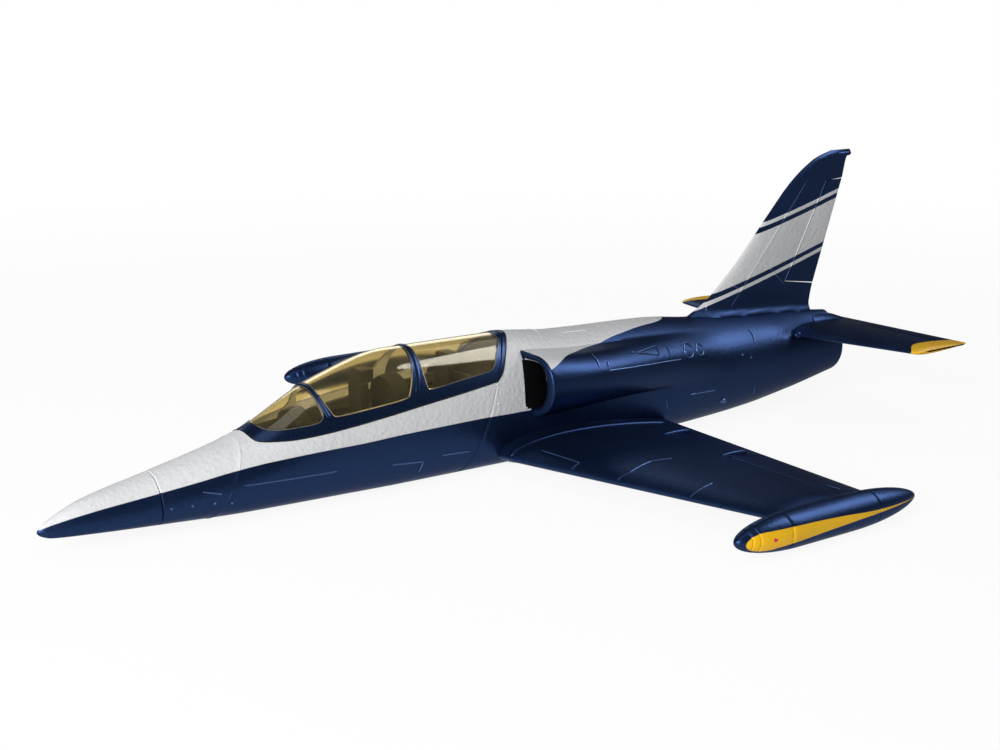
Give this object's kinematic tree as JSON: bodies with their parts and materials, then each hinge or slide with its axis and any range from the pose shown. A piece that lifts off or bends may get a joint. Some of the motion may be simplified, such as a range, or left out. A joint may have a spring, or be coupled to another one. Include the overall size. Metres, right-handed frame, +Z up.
{
  "type": "radio-controlled jet plane",
  "caption": "Foam radio-controlled jet trainer with cheek intakes, a ducted fan, tip tanks, a glazed lift-up canopy hatch and servo-driven ailerons, elevator and rudder.",
  "frame": {"origin": "on the surface the model stands on, under the middle of its bounding box", "axes": "+X from nose to tail, +Y to starboard, +Z up"},
  "size_m": [0.9306, 0.7234, 0.2633],
  "materials": {
    "silver_foam": "metallic silver paint over moulded foam beads",
    "blue_foam": "metallic navy paint over moulded foam beads",
    "frame_gloss": "gloss navy moulding",
    "amber_glazing": "amber tinted clear sheet",
    "cockpit_dark": "matt dark grey",
    "black_plastic": "satin black moulding",
    "white_nylon": "moulded nylon",
    "steel": "bright steel",
    "aluminium": "turned aluminium",
    "carbon": "pultruded carbon",
    "plywood": "sanded plywood",
    "battery_wrap": "heat-shrunk wrap",
    "strap_fabric": "hook-and-loop tape",
    "pipe_grey": "rolled plastic sheet"
  },
  "bodies": {
    "airframe": {"nose_cone": "silver_foam", "front_fuselage": "silver_foam", "rear_fuselage_left": "blue_foam", "rear_fuselage_right": "blue_foam", "left_wing": "blue_foam", "right_wing": "blue_foam", "left_tip_tank": "blue_foam", "right_tip_tank": "blue_foam", "left_stabiliser": "blue_foam", "right_stabiliser": "blue_foam", "fin": "blue_foam", "body_magnet": "steel", "fan_shroud": "black_plastic", "motor": "aluminium", "tail_pipe": "pipe_grey", "battery_tray": "plywood", "battery": "battery_wrap", "battery_strap": "strap_fabric", "receiver": "black_plastic", "speed_controller": "battery_wrap", "wing_spar": "carbon", "left_wing_screw": "steel", "right_wing_screw": "steel", "left_aileron_servo": "black_plastic", "right_aileron_servo": "black_plastic", "elevator_servo": "black_plastic", "rudder_servo": "black_plastic"},
    "canopy_hatch": {"canopy_frame": "frame_gloss", "windscreen_pane": "amber_glazing", "front_canopy_pane": "amber_glazing", "rear_canopy_pane": "amber_glazing", "cockpit_tub": "cockpit_dark", "front_instrument_panel": "black_plastic", "rear_instrument_panel": "black_plastic", "front_seat": "black_plastic", "rear_seat": "black_plastic", "hatch_magnet": "steel"},
    "fan": {"fan_rotor": "black_plastic", "spinner": "aluminium"},
    "port_aileron": {"left_aileron": "blue_foam", "left_aileron_horn": "white_nylon"},
    "starboard_aileron": {"right_aileron": "blue_foam", "right_aileron_horn": "white_nylon"},
    "elevator": {"left_elevator": "blue_foam", "right_elevator": "blue_foam", "elevator_joiner": "steel", "elevator_horn": "white_nylon"},
    "rudder_panel": {"rudder": "blue_foam", "rudder_horn": "white_nylon"},
    "port_aileron_arm": {"left_aileron_servo_arm": "white_nylon"},
    "starboard_aileron_arm": {"right_aileron_servo_arm": "white_nylon"},
    "elevator_arm": {"elevator_servo_arm": "white_nylon"},
    "rudder_arm": {"rudder_servo_arm": "white_nylon"},
    "port_aileron_rod": {"left_aileron_pushrod": "steel"},
    "starboard_aileron_rod": {"right_aileron_pushrod": "steel"},
    "elevator_rod": {"elevator_pushrod": "steel"},
    "rudder_rod": {"rudder_pushrod": "steel"}
  },
  "joints": [
    {"name": "canopy_lift", "type": "hinge", "parent": "airframe", "child": "canopy_hatch", "pos_m": [-0.2838, 0, 0.0753], "axis": [0, -1, 0], "range_deg": [0, 50]},
    {"name": "fan_spin", "type": "hinge", "parent": "airframe", "child": "fan", "pos_m": [0.1307, 0, 0.0543], "axis": [1, 0, 0], "continuous": true},
    {"name": "port_aileron_hinge", "type": "hinge", "parent": "airframe", "child": "port_aileron", "pos_m": [0.0971, -0.238, 0.0241], "axis": [0.071, 0.9972, -0.0217], "range_deg": [-18, 18]},
    {"name": "starboard_aileron_hinge", "type": "hinge", "parent": "airframe", "child": "starboard_aileron", "pos_m": [0.0971, 0.238, 0.0241], "axis": [-0.071, 0.9972, 0.0217], "range_deg": [-18, 18]},
    {"name": "elevator_hinge", "type": "hinge", "parent": "airframe", "child": "elevator", "pos_m": [0.4397, 0, 0.0788], "axis": [0, 1, 0], "range_deg": [-20, 20]},
    {"name": "rudder_hinge", "type": "hinge", "parent": "airframe", "child": "rudder_panel", "pos_m": [0.3707, 0, 0.1288], "axis": [0.5033, 0, 0.8641], "range_deg": [-25, 25]},
    {"name": "port_aileron_servo_turn", "type": "hinge", "parent": "airframe", "child": "port_aileron_arm", "pos_m": [0.04922, -0.23459, 0.0211], "axis": [0.071, 0.9972, -0.0217], "range_deg": [-18, 18]},
    {"name": "starboard_aileron_servo_turn", "type": "hinge", "parent": "airframe", "child": "starboard_aileron_arm", "pos_m": [0.04922, 0.23459, 0.0211], "axis": [-0.071, 0.9972, 0.0217], "range_deg": [-18, 18]},
    {"name": "elevator_servo_turn", "type": "hinge", "parent": "airframe", "child": "elevator_arm", "pos_m": [0.3957, 0.06, 0.0773], "axis": [0, 1, 0], "range_deg": [-20, 20]},
    {"name": "rudder_servo_turn", "type": "hinge", "parent": "airframe", "child": "rudder_arm", "pos_m": [0.34919, 0.0015, 0.1634], "axis": [0.5033, 0, 0.8641], "range_deg": [-25, 25]},
    {"name": "port_aileron_rod_pin", "type": "hinge", "parent": "port_aileron_arm", "child": "port_aileron_rod", "pos_m": [0.04922, -0.23459, 0.0081], "axis": [0.071, 0.9972, -0.0217], "range_deg": [-18, 18]},
    {"name": "starboard_aileron_rod_pin", "type": "hinge", "parent": "starboard_aileron_arm", "child": "starboard_aileron_rod", "pos_m": [0.04922, 0.23459, 0.0081], "axis": [-0.071, 0.9972, 0.0217], "range_deg": [-18, 18]},
    {"name": "elevator_rod_pin", "type": "hinge", "parent": "elevator_arm", "child": "elevator_rod", "pos_m": [0.3957, 0.06, 0.0663], "axis": [0, 1, 0], "range_deg": [-20, 20]},
    {"name": "rudder_rod_pin", "type": "hinge", "parent": "rudder_arm", "child": "rudder_rod", "pos_m": [0.34919, 0.0135, 0.1634], "axis": [0.5033, 0, 0.8641], "range_deg": [-25, 25]}
  ],
  "couplings": [
    {"joint": "starboard_aileron_hinge", "follows": "port_aileron_hinge", "ratio": -1},
    {"joint": "port_aileron_servo_turn", "follows": "port_aileron_hinge", "ratio": 1},
    {"joint": "port_aileron_rod_pin", "follows": "port_aileron_hinge", "ratio": -1},
    {"joint": "starboard_aileron_servo_turn", "follows": "port_aileron_hinge", "ratio": -1},
    {"joint": "starboard_aileron_rod_pin", "follows": "port_aileron_hinge", "ratio": 1},
    {"joint": "elevator_servo_turn", "follows": "elevator_hinge", "ratio": 1},
    {"joint": "elevator_rod_pin", "follows": "elevator_hinge", "ratio": -1},
    {"joint": "rudder_servo_turn", "follows": "rudder_hinge", "ratio": 1},
    {"joint": "rudder_rod_pin", "follows": "rudder_hinge", "ratio": -1}
  ]
}
